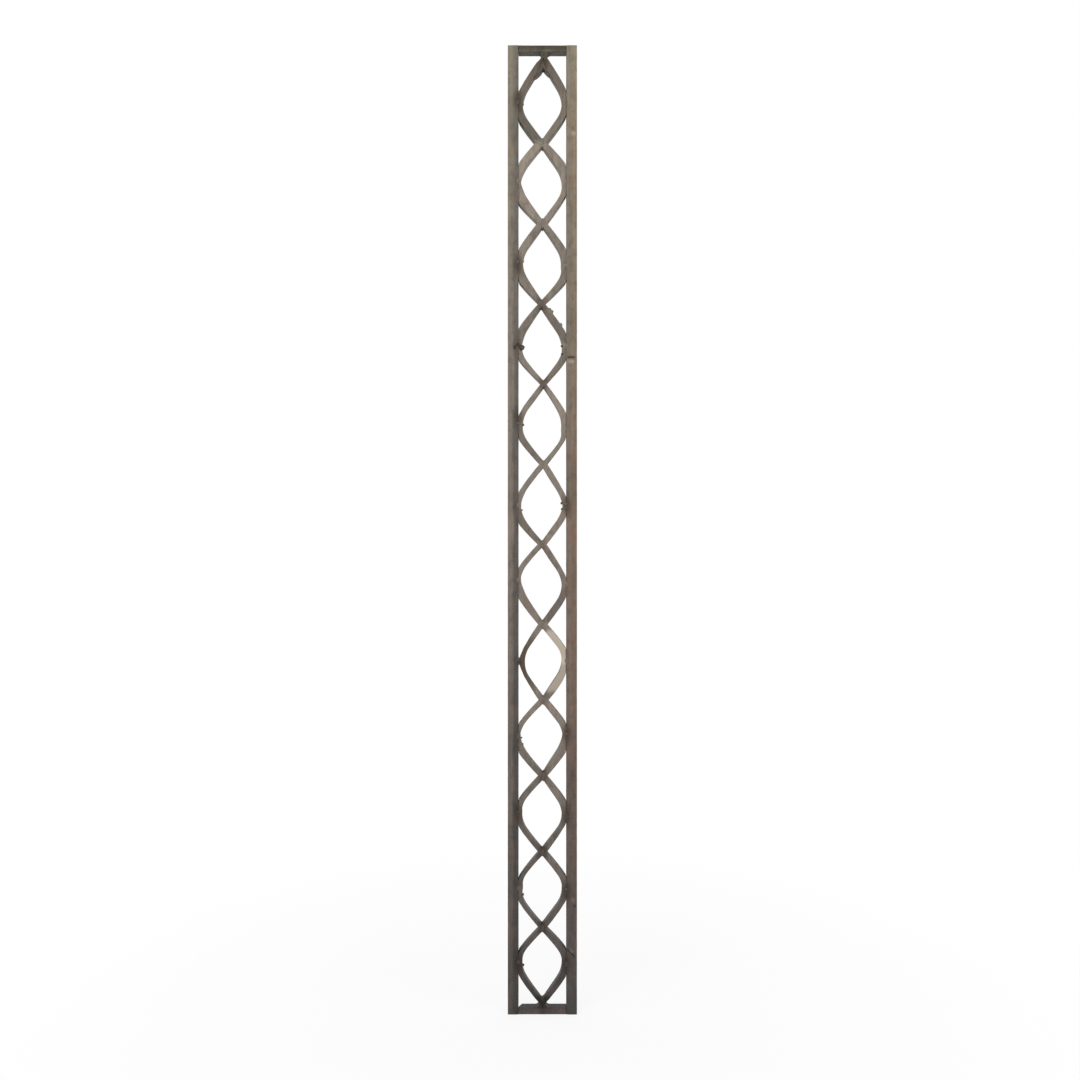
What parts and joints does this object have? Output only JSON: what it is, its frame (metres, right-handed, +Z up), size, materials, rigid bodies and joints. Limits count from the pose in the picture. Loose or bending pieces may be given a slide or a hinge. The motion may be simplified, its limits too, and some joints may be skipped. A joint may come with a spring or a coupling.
{
  "type": "iron stair baluster",
  "caption": "Narrow welded iron stair baluster: a rectangular frame of square bars around two wavy flat bars that cross on the centre line and enclose a row of pointed oval cells.",
  "frame": {"origin": "middle of the foot: the middle of the bottom bar's underside, halfway across the width and the depth", "axes": "+Z up along the uprights, +X to the right seen from the front, -Y towards the front"},
  "size_m": [0.0644, 0.0118, 0.9],
  "materials": {
    "left_upright_iron": "bare hot-rolled bar with mill scale and light rust, soft semi-matte",
    "right_upright_iron": "bare hot-rolled bar with mill scale and light rust, soft semi-matte",
    "end_bar_iron": "bare hot-rolled bar with mill scale, semi-matte",
    "wave_bar_iron": "bare hand-bent flat bar with mill scale and light rust, semi-matte",
    "weld_metal": "burnt weld metal with brown heat tint, semi-matte"
  },
  "bodies": {
    "root": {"left_upright": "left_upright_iron", "right_upright": "right_upright_iron", "top_bar": "end_bar_iron", "bottom_bar": "end_bar_iron", "wave_bar_left_start": "wave_bar_iron", "wave_bar_right_start": "wave_bar_iron", "crossing_welds": "weld_metal", "left_contact_welds": "weld_metal", "right_contact_welds": "weld_metal", "top_stem_welds": "weld_metal", "bottom_stem_welds": "weld_metal", "left_weld_beads": "weld_metal", "right_weld_beads": "weld_metal"}
  },
  "joints": []
}
